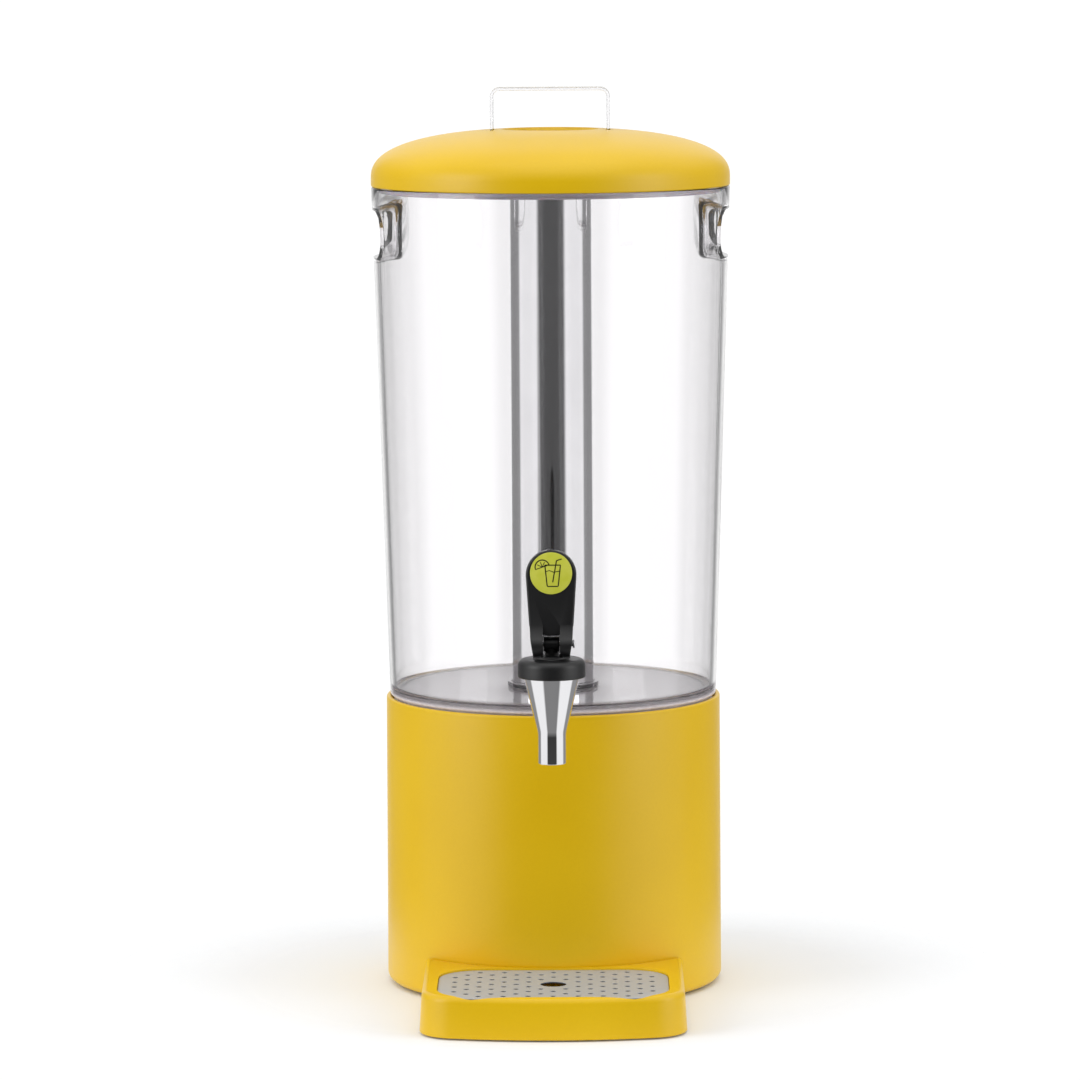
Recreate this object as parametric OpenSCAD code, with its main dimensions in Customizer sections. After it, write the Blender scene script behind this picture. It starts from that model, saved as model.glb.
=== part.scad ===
// Beverage dispenser: a clear tank with an ice tube stands on a tall round base, and a
// self-closing tap pours over a drip tray. Millimetres, +Z up, tap and tray towards -Y.
// The origin is on the tank's axis at table level.

/* [Base] */
// Diameter of the base near the table
base_foot_d = 216.8; // [206:0.2:230]
// Diameter of the base at its rim
base_rim_d = 215.6; // [206:0.2:230]
// Height of the rim above the table
base_h = 187; // [175:1:220]
// Wall thickness of the base shell
base_wall = 3; // [2:0.5:4]
// Radius of the base's lower edge
base_edge_r = 7; // [5:0.5:9]

/* [Tank] */
// Height of the tank from its floor's underside to its mouth
tank_h = 328.2; // [260:0.2:380]
// How much wider the mouth is than the floor, across the diameter
tank_flare = 19.4; // [10:0.2:26]
// Wall thickness of the tank
tank_wall = 3.5; // [2.5:0.5:4.5]
// Thickness of the tank's floor
tank_floor_t = 4.4; // [3:0.2:6]
// Width of a finger pocket's opening
pocket_w = 73; // [60:1:84]
// Height of a finger pocket's opening
pocket_h = 30.4; // [26:0.2:36]
// How far a finger pocket reaches in from the mouth's radius
pocket_depth = 18.6; // [14:0.2:22]

/* [Ice tube] */
// Outer diameter of the ice tube
tube_d = 52.9; // [46:0.1:54]
// Wall thickness of the ice tube
tube_wall = 0.8; // [0.6:0.1:1.2]

/* [Lid] */
// Height of the lid's dome above the tank's mouth
lid_h = 36.6; // [32:0.2:44]
// Thickness of the lid
lid_wall = 3; // [2:0.5:3.5]
// Overall width of the strap handle
strap_w = 76.5; // [72:0.5:84]
// Height of the strap handle's top above the lid's edge
strap_h = 62.9; // [56:0.1:70]
// Depth of the strap from front to back
strap_depth = 26; // [18:1:30]
// Thickness of the strap
strap_t = 2; // [1.5:0.1:2.5]

/* [Tap] */
// Distance of the tap's spout from the tank's axis
tap_reach = 157; // [152:1:165]
// Diameter of the tap's threaded shank
shank_d = 15.8; // [14:0.1:17]
// Diameter of the bonnet
bonnet_d = 42.1; // [39:0.1:46]
// Outer diameter of the spout's straight end
spout_d = 17.8; // [16.4:0.1:19]
// Width of the handle's paddle
paddle_w = 31.3; // [28:0.1:34]
// Diameter of the round badge
badge_d = 26; // [20:0.5:27]
// Distance of the cam's centre from the pivot, which sets the lift
cam_offset = 8; // [6:0.5:9]

/* [Drip tray] */
// Width of the tray
tray_w = 166; // [160:1:176]
// Distance of the tray's front from the tank's axis
tray_front = 211; // [205:1:225]
// Height of the tray
tray_h = 27; // [22:0.5:32]
// Distance between neighbouring columns of drain holes
hole_step = 7.7; // [7.2:0.1:7.9]
// Diameter of a drain hole
hole_d = 3.7; // [3:0.1:4.5]
// Diameter of the middle drain hole
drain_d = 16.3; // [12:0.1:18]

/* [Hidden] */
$fn = 96;

// Colours
yellow = [0.93, 0.74, 0.08];
steel = [0.78, 0.79, 0.80];
chrome = [0.86, 0.87, 0.88];
black = [0.10, 0.10, 0.11];
rubber = [0.20, 0.20, 0.21];
silicone = [0.85, 0.84, 0.86];
clear = [0.86, 0.88, 0.92, 0.35];
badge_green = [0.80, 0.82, 0.25];

// Gaps: between pieces that part, and between fixed pieces
loose = 0.4;
snug = 0.1;
overshoot = 1;

// Base
pad_t = 1.5;
pad_r = 82;
floor_t = 4;
floor_hole_r = 98;
base_foot_r = base_foot_d / 2;
base_rim_r = base_rim_d / 2;
rim_round = 1.5;
deck_t = 1.2;
deck_z = base_h - 4;
deck_r = base_rim_r - base_wall - 2 * loose;
ledge_t = 3;
ledge_in_r = 98;
screw_circle_r = 90;
screw_r = 2;
screw_head_r = 3.8;
screw_head_h = 2.2;
screw_l = 18;
boss_r = 5;
boss_h = 26;
boss_web = 4;

// Tank, whose radius grows evenly with height
tank_z = base_h + loose;
tank_top_z = tank_z + tank_h;
tank_floor_z = tank_z + tank_floor_t;
tank_foot_r = base_rim_r - 2.4;
tank_mouth_r = tank_foot_r + tank_flare / 2;
tank_corner_r = 4;
foot_ring_r = 101;
foot_ring_t = 4;
collar_in_r = tube_d / 2 + loose;
collar_r = collar_in_r + 2.6;
collar_h = 3.5;
pocket_z = tank_top_z - 29.9;
pocket_corner_r = 13;
pocket_wall = 2.8;
pocket_floor_x = tank_mouth_r - pocket_depth;
shank_z = tank_floor_z + 16.2;

// Ice tube
tube_r = tube_d / 2;
foot_t = 2.5;
tube_z = tank_floor_z + foot_t;
tube_top_z = tank_top_z + 19.4;
bead_r = 1.2;
tube_end_t = 1.2;

// Lid, whose dome is a superellipse above a short skirt
lid_r = tank_mouth_r + 0.1;
skirt_h = 5;
dome_power = 0.8;
recess_r = 31.5;
recess_depth = 4;
plug_r = tank_mouth_r - tank_wall - 2.4;
plug_in_r = plug_r - 2;
plug_depth = 4;
seal_r = tank_mouth_r - tank_wall - 0.55;
socket_in_r = tube_r + 1.75;
socket_r = socket_in_r + 2.2;
socket_depth = 20.7;
strap_foot_z = tank_top_z + 25.4;
strap_foot_l = 14;
strap_corner_r = 6;
strap_top_z = tank_top_z + strap_h;
handle_screw_x = strap_w / 2 + strap_foot_l / 2;

// Tap: heights above the table
spout_z = tank_floor_z - 27;
cone_z = spout_z + 19.1;
seat_z = cone_z + 13.1;
chamber_z = seat_z + 6;
bonnet_z = spout_z + 54.2;
bonnet_top_z = bonnet_z + 11.6;
hub_z = bonnet_top_z + 1.8;
body_top_z = bonnet_z + 6.6;
roof_z = body_top_z + snug;
pin_z = hub_z + 7.1;
badge_z = pin_z + 45;
paddle_z = pin_z + 43.5;
// Tap: radii about the spout's axis
outlet_r = 6.5;
spout_r = spout_d / 2;
body_r = 17.4;
chamber_r = 12.5;
stem_r = 4;
stem_gap = 0.08;
hub_r = 11.5;
flange_t = 2;
cup_r = 11.9;
cup_wall = 1;
stem_foot_r = 9;
stem_foot_t = 2;
stem_foot_z = chamber_z + 0.6;
spring_r = 6.9;
spring_wire_r = 0.5;
spring_turns = 6;
// Tap: shank through the tank's wall
shank_r = shank_d / 2;
shank_bore_r = 4.5;
tank_r_at_shank = tank_foot_r + (shank_z - tank_z) * tank_flare / 2 / tank_h;
shank_flange_r = 12.5;
shank_flange_y = tank_r_at_shank + 5.6;
shank_end_y = tank_r_at_shank - 16;
washer_r = 13;
nut_r = 13.5;
nut_t = 7.5;
nut_y = tank_r_at_shank - tank_wall - 2.6;
// Tap: handle
pin_r = 1.5;
pin_gap = 0.05;
pin_head_r = 2.5;
eye_r = 4.8;
slot_w = 10.5;
cam_r = pin_z - hub_z - snug;
paddle_front = 8.5;
paddle_t = 8;
pivot_r = 5.5;
badge_t = 1.2;
badge_sink = 0.8;

// Drip tray, with its outline's corners tangent to the front's arc
tray_lift = 1;
tray_gap = 0.6;
front_arc_r = 282;
tray_corner_r = 25;
tray_back_y = -60;
arc_centre_y = front_arc_r - tray_front;
corner_x = tray_w / 2 - tray_corner_r;
corner_y = arc_centre_y - sqrt(pow(front_arc_r - tray_corner_r, 2) - pow(corner_x, 2));
grille_t = 1.2;
grille_w = 143.4;
grille_l = 92.5;
grille_y = -(tray_front - 53);
grille_corner_r = 26;
grille_z = tray_h - 1 - grille_t;
ledge_w = 3.5;
basin_t = 2.6;
tray_foot_r = 6;
tray_foot_t = 2;
tray_foot_x = 54;
tray_foot_y = 32;
hole_columns = 8;
hole_rows = 6;

// Points on an arc about [x, y]
function arc(x, y, r, from, to, steps) =
    [for (i = [0:steps]) let (a = from + (to - from) * i / steps) [x + r * cos(a), y + r * sin(a)]];

// Points on a dome's profile, from its edge up to the radius stop_r
function dome(r, h, stop_r, steps) =
    let (last = acos(pow(stop_r / r, 1 / dome_power)))
    [for (i = [0:steps]) let (a = last * i / steps)
        [r * pow(cos(a), dome_power), tank_top_z + skirt_h + h * pow(sin(a), dome_power)]];

// Height of a dome's surface at a radius
function dome_z(r, h, at_r) =
    tank_top_z + skirt_h + h * pow(1 - pow(at_r / r, 2 / dome_power), dome_power / 2);

function reversed(list) = [for (i = [len(list) - 1:-1:0]) list[i]];

// Radius of the tank's outside at a height
function tank_r(z) = tank_foot_r + (z - tank_z) * (tank_mouth_r - tank_foot_r) / tank_h;

// A solid that fills the tank's outside, or its inside when inset is the wall thickness
module tank_cone(inset) {
    translate([0, 0, tank_z])
        cylinder(r1 = tank_foot_r - inset, r2 = tank_mouth_r - inset, h = tank_h, $fn = 250);
}

// A rectangle with round corners, centred
module round_rect(w, h, r) {
    square([w - 2 * r, h], center = true);
    square([w, h - 2 * r], center = true);
    for (x = [-1, 1], y = [-1, 1])
        translate([x * (w / 2 - r), y * (h / 2 - r)]) circle(r = r);
}

// Places children at the floor plate's four screws
module at_floor_screws() {
    for (a = [45:90:315]) rotate(a) translate([screw_circle_r, 0, 0]) children();
}

// Moves children to the spout's axis
module at_tap() {
    translate([0, -tap_reach, 0]) children();
}

// Turns a shape drawn upwards so that it runs from y = -from towards the tank's axis
module along_shank(from) {
    translate([0, -from, shank_z]) rotate([-90, 0, 0]) children();
}

module base_shell() {
    ledge_z = deck_z - deck_t;
    inner_rim_r = base_rim_r - base_wall;
    inner_foot_r = base_foot_r - base_wall;
    edge_x = base_foot_r - base_edge_r;
    edge_z = pad_t + base_edge_r;
    profile = concat(
        [[floor_hole_r, pad_t]],
        arc(edge_x, edge_z, base_edge_r, -90, 0, 10),
        arc(base_rim_r - rim_round, base_h - rim_round, rim_round, 0, 90, 4),
        [[inner_rim_r, base_h], [inner_rim_r, ledge_z], [ledge_in_r, ledge_z]],
        [[ledge_in_r, ledge_z - ledge_t], [inner_rim_r, ledge_z - ledge_t - 4]],
        arc(edge_x, edge_z, base_edge_r - base_wall, 0, -90, 6),
        [[floor_hole_r, pad_t + base_wall]]);
    boss_z = pad_t + floor_t;
    color(yellow) difference() {
        union() {
            rotate_extrude() polygon(profile);
            at_floor_screws() translate([0, 0, boss_z]) cylinder(r = boss_r, h = boss_h);
            at_floor_screws() translate([0, -boss_web / 2, boss_z])
                cube([inner_foot_r + 1 - screw_circle_r, boss_web, boss_h]);
        }
        at_floor_screws() cylinder(r = screw_r, h = pad_t + screw_l + 2);
    }
}

module deck_plate() {
    color(steel) translate([0, 0, deck_z - deck_t]) cylinder(r = deck_r, h = deck_t);
}

module base_floor() {
    color(black) difference() {
        translate([0, 0, pad_t]) cylinder(r = floor_hole_r - loose, h = floor_t);
        at_floor_screws() cylinder(r = screw_r + snug, h = pad_t + floor_t + overshoot);
        at_floor_screws() cylinder(r = screw_head_r + loose, h = pad_t + screw_head_h + snug);
    }
}

module floor_screws() {
    color(steel) at_floor_screws() translate([0, 0, pad_t + snug]) {
        cylinder(r = screw_head_r, h = screw_head_h);
        cylinder(r = screw_r, h = screw_l);
    }
}

module base_pad() {
    color(rubber) cylinder(r = pad_r, h = pad_t);
}

// The tray's outline: straight sides, round corners, a bowed front and a back that
// follows the base, all moved inwards by inset
module tray_outline(inset) {
    reach = front_arc_r * 1.2;
    lean = atan2(corner_x, arc_centre_y - corner_y);
    width = tray_w - 2 * inset;
    difference() {
        union() {
            translate([-width / 2, corner_y]) square([width, tray_back_y - corner_y]);
            for (x = [-corner_x, corner_x])
                translate([x, corner_y]) circle(r = tray_corner_r - inset);
            intersection() {
                translate([0, arc_centre_y]) circle(r = front_arc_r - inset, $fn = 240);
                polygon([[0, arc_centre_y],
                    [-reach * sin(lean), arc_centre_y - reach * cos(lean)],
                    [reach * sin(lean), arc_centre_y - reach * cos(lean)]]);
                translate([-width / 2, -2 * tray_front])
                    square([width, 2 * tray_front + tray_back_y]);
            }
        }
        circle(r = base_foot_r + tray_gap + inset);
    }
}

// The grille's outline, made larger by grow, extruded upwards from z
module grille_prism(z, height, grow) {
    translate([0, grille_y, z]) linear_extrude(height)
        round_rect(grille_w + 2 * grow, grille_l + 2 * grow, grille_corner_r + grow);
}

// Places children at the four feet under the basin
module at_tray_feet() {
    for (x = [-1, 1], y = [-1, 1])
        translate([x * tray_foot_x, grille_y + y * tray_foot_y, 0]) children();
}

// A basin hangs in a panel that has a skirt all round
module drip_tray() {
    basin_h = tray_h - tray_lift;
    color(yellow) difference() {
        union() {
            difference() {
                translate([0, 0, tray_lift]) linear_extrude(basin_h) tray_outline(0);
                linear_extrude(tray_h - basin_t) tray_outline(basin_t);
            }
            grille_prism(tray_lift, basin_h - snug, basin_t - ledge_w);
        }
        grille_prism(grille_z, tray_h, loose);
        grille_prism(tray_lift + basin_t, tray_h, -ledge_w);
        at_tray_feet() cylinder(r = tray_foot_r + snug, h = tray_foot_t);
    }
}

module tray_feet() {
    color(rubber) at_tray_feet() cylinder(r = tray_foot_r, h = tray_foot_t);
}

module drip_grille() {
    color(steel) translate([0, grille_y, grille_z]) difference() {
        linear_extrude(grille_t) round_rect(grille_w, grille_l, grille_corner_r);
        drain_holes();
    }
}

// Staggered columns of holes, with the outer columns cut short and room left for the middle hole
module drain_holes() {
    translate([0, 0, -overshoot]) cylinder(d = drain_d, h = grille_t + 2 * overshoot);
    for (column = [-hole_columns:hole_columns]) {
        rows = column % 2 != 0 ? hole_rows - 1 : hole_rows;
        limit = abs(column) == hole_columns ? hole_rows - 2 : rows;
        for (row = [0:rows - 1]) {
            step = row - (rows - 1) / 2;
            inside = 2 * abs(step) <= limit - 1;
            open = abs(column) > 1 || abs(step) > 0.5;
            if (inside && open)
                translate([column * hole_step, 2 * step * hole_step, -overshoot])
                    cylinder(d = hole_d, h = grille_t + 2 * overshoot, $fn = 24);
        }
    }
}

// The outline of a finger pocket, made larger by grow, drawn at the pocket's height
module pocket_prism(from_x, to_x, grow) {
    translate([from_x, 0, pocket_z]) rotate([90, 0, 90]) linear_extrude(to_x - from_x)
        round_rect(pocket_w + 2 * grow, pocket_h + 2 * grow, pocket_corner_r + grow);
}

module tank() {
    inner_floor_r = tank_r(tank_floor_z) - tank_wall - tank_corner_r;
    fillet_z = tank_floor_z + tank_corner_r;
    ring_in_r = foot_ring_r - foot_ring_t;
    profile = concat(
        [[0, tank_z], [ring_in_r, tank_z], [ring_in_r, deck_z], [foot_ring_r, deck_z]],
        [[foot_ring_r, tank_z]],
        arc(tank_foot_r - tank_corner_r, tank_z + tank_corner_r, tank_corner_r, -90, 0, 6),
        [[tank_mouth_r, tank_top_z], [tank_mouth_r - tank_wall, tank_top_z]],
        arc(inner_floor_r, fillet_z, tank_corner_r, 0, -90, 6),
        [[collar_r, tank_floor_z], [collar_r, tank_floor_z + collar_h]],
        [[collar_in_r, tank_floor_z + collar_h], [collar_in_r, tank_floor_z], [0, tank_floor_z]]);
    color(clear) difference() {
        union() {
            rotate_extrude($fn = 160) polygon(profile);
            for (side = [0, 180]) rotate(side) intersection() {
                pocket_prism(pocket_floor_x - pocket_wall, tank_mouth_r + overshoot, pocket_wall);
                tank_cone(tank_wall / 2);
            }
        }
        for (side = [0, 180]) rotate(side)
            pocket_prism(pocket_floor_x, tank_mouth_r + 10, 0);
        along_shank(tank_mouth_r) cylinder(r = shank_r + 2 * snug, h = 20);
    }
}

module tap_body() {
    cone_slope = (body_r - spout_r) / (bonnet_z - cone_z);
    color(chrome) difference() {
        union() {
            at_tap() rotate_extrude() polygon([
                [0, spout_z], [spout_r - 0.8, spout_z], [spout_r, spout_z + 0.8],
                [spout_r, cone_z], [body_r, bonnet_z], [body_r, body_top_z], [0, body_top_z]]);
            along_shank(tap_reach) cylinder(r = shank_r, h = tap_reach - shank_end_y);
            along_shank(shank_flange_y + 3) cylinder(r = shank_flange_r, h = 3);
        }
        at_tap() rotate_extrude() polygon([
            [0, spout_z - overshoot], [outlet_r, spout_z - overshoot], [outlet_r, seat_z],
            [chamber_r, chamber_z], [chamber_r, body_top_z - flange_t],
            [body_r - 1.8, body_top_z - flange_t], [body_r - 1.8, body_top_z + overshoot],
            [0, body_top_z + overshoot]]);
        along_shank(tap_reach) cylinder(r = shank_bore_r, h = tap_reach);
    }
}

module tap_bonnet() {
    round_r = 4.2;
    bonnet_r = bonnet_d / 2;
    color(black) at_tap() rotate_extrude() polygon(concat(
        [[body_r + snug, bonnet_z], [bonnet_r - 0.6, bonnet_z], [bonnet_r, bonnet_z + 0.6]],
        arc(bonnet_r - round_r, bonnet_top_z - round_r, round_r, 0, 90, 6),
        [[hub_r, bonnet_top_z], [hub_r, hub_z], [stem_r + stem_gap, hub_z]],
        [[stem_r + stem_gap, roof_z], [body_r + snug, roof_z]]));
}

// A flat rubber washer on the shank, shaped to the tank's wall
module outer_washer() {
    color(silicone) difference() {
        along_shank(shank_flange_y) cylinder(r = washer_r, h = shank_flange_y - tank_r_at_shank + 1);
        along_shank(shank_flange_y + overshoot) cylinder(r = shank_r + snug, h = 20);
        tank_cone(-0.02);
    }
}

module inner_washer() {
    color(silicone) intersection() {
        difference() {
            along_shank(tank_r_at_shank) cylinder(r = washer_r, h = tank_r_at_shank - nut_y);
            along_shank(tank_r_at_shank + overshoot) cylinder(r = shank_r + snug, h = 20);
        }
        tank_cone(tank_wall + 0.2);
    }
}

module shank_nut() {
    color(black) difference() {
        along_shank(nut_y) cylinder(r = nut_r, h = nut_t, $fn = 6);
        along_shank(nut_y + overshoot) cylinder(r = shank_r + 0.02, h = nut_t + 2 * overshoot);
    }
}

// The flexible cup that keeps the drink out of the stem's guide and shuts the outlet
module seat_cup() {
    nose_r = outlet_r + 0.7;
    nose_z = seat_z + 0.9;
    shoulder_z = nose_z + cup_r - nose_r;
    color(silicone) at_tap() rotate_extrude() polygon([
        [0, nose_z], [nose_r, nose_z], [cup_r, shoulder_z], [cup_r, body_top_z - flange_t],
        [body_r - 2, body_top_z - flange_t], [body_r - 2, body_top_z],
        [cup_r - cup_wall, body_top_z], [cup_r - cup_wall, stem_foot_z - 0.3],
        [0, stem_foot_z - 0.3]]);
}

// A round-wire coil swept along a helix as one closed tube
module tap_spring() {
    low = stem_foot_z + stem_foot_t + spring_wire_r + snug;
    high = roof_z - spring_wire_r - snug;
    sides = 6;
    rings = 12 * spring_turns;
    points = [for (i = [0:rings], j = [0:sides - 1])
        let (turn = 360 * spring_turns * i / rings, a = 360 * j / sides,
            r = spring_r + spring_wire_r * cos(a))
        [r * cos(turn), r * sin(turn), low + (high - low) * i / rings + spring_wire_r * sin(a)]];
    walls = [for (i = [0:rings - 1], j = [0:sides - 1])
        let (k = (j + 1) % sides, a = i * sides, b = a + sides) [a + j, b + j, b + k, a + k]];
    start = [for (j = [0:sides - 1]) j];
    end = [for (j = [sides - 1:-1:0]) rings * sides + j];
    color(steel) at_tap() polyhedron(points, concat(walls, [start, end]), convexity = 8);
}

module tap_stem() {
    color(black) at_tap() difference() {
        union() {
            translate([0, 0, stem_foot_z]) cylinder(r = stem_foot_r, h = stem_foot_t);
            translate([0, 0, stem_foot_z]) cylinder(r = stem_r, h = pin_z - stem_foot_z);
            translate([-eye_r, 0, pin_z]) rotate([0, 90, 0]) cylinder(r = eye_r, h = 2 * eye_r);
        }
        translate([-eye_r - overshoot, 0, pin_z]) rotate([0, 90, 0])
            cylinder(r = pin_r, h = 2 * (eye_r + overshoot));
    }
}

module pivot_pin() {
    color(steel) at_tap() translate([0, 0, pin_z]) rotate([0, 90, 0]) {
        translate([0, 0, -12.4]) cylinder(r = pin_r, h = 25.4);
        translate([0, 0, 13]) cylinder(r = pin_head_r, h = 1.5);
    }
}

// Half of the handle's front outline, mirrored by the handle: [x, height above the pin]
module handle_front() {
    half = paddle_w / 2;
    translate([0, paddle_z - pin_z]) circle(r = half);
    polygon([[-half, paddle_z - pin_z], [-half + 1.5, 14.5], [-half + 2.6, 4], [-half + 4.6, -8],
        [half - 4.6, -8], [half - 2.6, 4], [half - 1.5, 14.5], [half, paddle_z - pin_z]]);
}

// The handle from the side: [distance behind the stem's axis, height above the pin]
module handle_side() {
    circle(r = pivot_r);
    translate([-cam_offset, 0]) circle(r = cam_r);
    translate([-cam_offset, -pivot_r]) square([cam_offset, 2 * pivot_r]);
    polygon([[-cam_offset - cam_r, 0], [pivot_r, 0], [paddle_t - paddle_front, 14],
        [paddle_t - paddle_front, 80], [-paddle_front, 80], [-paddle_front, 14],
        [-cam_offset - cam_r + 0.6, 3.4]]);
}

module tap_handle() {
    color(black) at_tap() translate([0, 0, pin_z]) difference() {
        intersection() {
            translate([0, 20, 0]) rotate([90, 0, 0]) linear_extrude(50) handle_front();
            translate([-paddle_w, 0, 0]) rotate([90, 0, 90]) linear_extrude(2 * paddle_w)
                handle_side();
        }
        // The fork's slot clears the stem's eye as the handle tilts
        translate([-slot_w / 2, -30, -20]) cube([slot_w, 60, 20 + eye_r + 1]);
        translate([-paddle_w, 0, 0]) rotate([0, 90, 0])
            cylinder(r = pin_r + pin_gap, h = 2 * paddle_w);
        translate([0, badge_sink - paddle_front, badge_z - pin_z]) rotate([90, 0, 0])
            cylinder(d = badge_d + 2 * snug, h = 5);
    }
}

module handle_badge() {
    color(badge_green) at_tap() translate([0, badge_sink - paddle_front, badge_z])
        rotate([90, 0, 0]) cylinder(d = badge_d, h = badge_t);
}

module ice_tube() {
    color(steel) {
        rotate_extrude() translate([tube_r - tube_wall, tube_z])
            square([tube_wall, tube_top_z - tube_z - bead_r]);
        rotate_extrude() translate([tube_r - tube_wall / 2, tube_top_z - bead_r])
            circle(r = bead_r, $fn = 32);
    }
}

module tube_end() {
    color(steel) translate([0, 0, tube_z]) cylinder(r = tube_r - tube_wall - 0.02, h = tube_end_t);
}

module tube_foot() {
    color(rubber) translate([0, 0, tank_floor_z]) difference() {
        cylinder(r = tube_r, h = foot_t);
        translate([0, 0, -overshoot]) cylinder(r = tube_r - 3, h = foot_t + 2 * overshoot);
    }
}

module lid_shell() {
    recess_wall_r = recess_r - 3;
    dome_h = lid_h - skirt_h;
    top = dome(lid_r, dome_h, recess_r, 16);
    under = reversed(dome(lid_r - lid_wall, dome_h - lid_wall, recess_r + 4.5, 12));
    floor_z = top[len(top) - 1][1] - recess_depth;
    under_z = floor_z - lid_wall;
    plug_z = tank_top_z - plug_depth;
    covered = [for (point = under) if (point[0] < plug_in_r - 1) point];
    boss_top_z = dome_z(lid_r - lid_wall, dome_h - lid_wall, handle_screw_x) + 1;
    profile = concat(
        [[plug_in_r, plug_z], [plug_r, plug_z], [plug_r, tank_top_z], [lid_r, tank_top_z]], top,
        [[recess_wall_r, floor_z], [0, floor_z], [0, under_z], [socket_in_r, under_z]],
        [[socket_in_r, under_z - socket_depth], [socket_r, under_z - socket_depth]],
        [[socket_r, under_z], [recess_r, under_z]], covered,
        [[plug_in_r, tank_top_z + skirt_h + 8]]);
    color(yellow) difference() {
        union() {
            rotate_extrude($fn = 160) polygon(profile);
            for (side = [-1, 1]) translate([side * handle_screw_x, 0, strap_foot_z])
                cylinder(r = boss_r, h = boss_top_z - strap_foot_z);
        }
        for (side = [-1, 1]) {
            translate([side * (strap_w - strap_t) / 2, 0, tank_top_z + lid_h])
                cube([strap_t + 2 * snug, strap_depth + 2 * snug, 20], center = true);
            translate([side * handle_screw_x, 0, strap_foot_z - overshoot])
                cylinder(r = screw_r, h = overshoot + 5.5);
        }
    }
}

module lid_seal() {
    color(silicone) translate([0, 0, tank_top_z - plug_depth + snug]) difference() {
        cylinder(r = seal_r, h = plug_depth - 2 * snug);
        translate([0, 0, -overshoot]) cylinder(r = plug_r + 0.02, h = 20);
    }
}

// The strap's outline from the front, with round upper corners and feet turned outwards
module strap_outline() {
    height = strap_top_z - strap_foot_z + strap_t;
    inner_r = strap_corner_r - strap_t;
    difference() {
        translate([0, -height / 2]) round_rect(strap_w, height, strap_corner_r);
        translate([0, -height / 2 - strap_t])
            round_rect(strap_w - 2 * strap_t, height, inner_r);
        translate([-strap_w, -height - overshoot]) square([2 * strap_w, strap_corner_r + overshoot]);
    }
    for (side = [-1, 1]) translate([side * (strap_w - strap_t) / 2, 0]) {
        translate([-strap_t / 2, -height]) square([strap_t, 2 * strap_corner_r]);
        translate([side * strap_foot_l / 2, strap_t / 2 - height])
            square([strap_foot_l + strap_t, strap_t], center = true);
    }
}

module lid_handle() {
    color(clear) difference() {
        translate([0, strap_depth / 2, strap_top_z]) rotate([90, 0, 0])
            linear_extrude(strap_depth) strap_outline();
        for (side = [-1, 1])
            translate([side * handle_screw_x, 0, strap_foot_z - strap_t - overshoot])
                cylinder(r = screw_r + snug, h = strap_t + 2 * overshoot);
    }
}

module handle_screws() {
    color(steel) for (side = [-1, 1])
        translate([side * handle_screw_x, 0, strap_foot_z - strap_t - screw_head_h]) {
            cylinder(r = screw_head_r, h = screw_head_h);
            cylinder(r = screw_r, h = screw_head_h + strap_t + 5);
        }
}

base_shell();
deck_plate();
base_floor();
floor_screws();
base_pad();
drip_tray();
tray_feet();
drip_grille();
tank();
tap_body();
tap_bonnet();
outer_washer();
inner_washer();
shank_nut();
seat_cup();
tap_spring();
tap_stem();
pivot_pin();
tap_handle();
handle_badge();
ice_tube();
tube_end();
tube_foot();
lid_shell();
lid_seal();
lid_handle();
handle_screws();
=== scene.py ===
# %% [markdown]
# # A beverage dispenser, piece by piece
# A tall clear tank stands on a round base, a chilled tube hangs inside it, and a self-closing
# tap pours over a drip tray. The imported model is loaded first. It fixes every place and size,
# so each piece below is built straight into its own spot.

# %% The frame
import bmesh
import bpy
import math
from mathutils import Matrix, Quaternion, Vector


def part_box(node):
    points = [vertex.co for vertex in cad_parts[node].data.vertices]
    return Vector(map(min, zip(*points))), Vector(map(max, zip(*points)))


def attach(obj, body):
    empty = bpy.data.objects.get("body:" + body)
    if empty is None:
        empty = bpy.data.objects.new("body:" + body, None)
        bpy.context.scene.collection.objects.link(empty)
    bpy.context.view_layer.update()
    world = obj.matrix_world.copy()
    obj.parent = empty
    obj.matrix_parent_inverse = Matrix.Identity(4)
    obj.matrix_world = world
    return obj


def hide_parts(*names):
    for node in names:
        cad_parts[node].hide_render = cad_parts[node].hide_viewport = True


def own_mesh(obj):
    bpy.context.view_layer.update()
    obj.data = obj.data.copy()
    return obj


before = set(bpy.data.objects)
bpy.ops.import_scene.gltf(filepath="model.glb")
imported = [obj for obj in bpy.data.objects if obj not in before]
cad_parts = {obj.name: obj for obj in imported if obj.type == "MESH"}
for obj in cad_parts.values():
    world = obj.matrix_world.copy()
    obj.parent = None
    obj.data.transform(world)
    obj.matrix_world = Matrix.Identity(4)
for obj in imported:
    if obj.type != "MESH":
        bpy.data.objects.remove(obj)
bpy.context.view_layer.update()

# %% [markdown]
# ## Working in millimetres
# Blender's unit is the metre, and a moulder's drawing is in millimetres. Drawings below are
# written in millimetres and multiplied by MM once, when they become mesh. Sizes that several
# pieces share stand here once: heights end in Z, and an axis is the place that it passes.

# %% Shared sizes
MM = 0.001
TAP_Y, PIN_Z, SHANK_Z = -157.0, 239.5, 208.0
TAP_AXIS, PIN_AXIS, SHANK_AXIS = (0, TAP_Y), (TAP_Y, PIN_Z), (0, SHANK_Z)
LEDGE_Z, DECK_Z = 181.8, 183.0
TANK_LOW_Z, TANK_FLOOR_Z, TUBE_LOW_Z = 187.4, 191.8, 194.3
TANK_FOOT_R, TANK_WALL = 105.4, 3.5
STRAP_LEG_X, STRAP_SCREW_X, STRAP_FOOT_Z = 37.25, 45.25, 540
GRILLE_LOW_Z, GRILLE_TOP_Z = 24.8, 26.0


def box_mm(node):
    """Lowest and highest corner of a node of the frame, in millimetres."""
    low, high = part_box(node)
    return low / MM, high / MM


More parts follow.
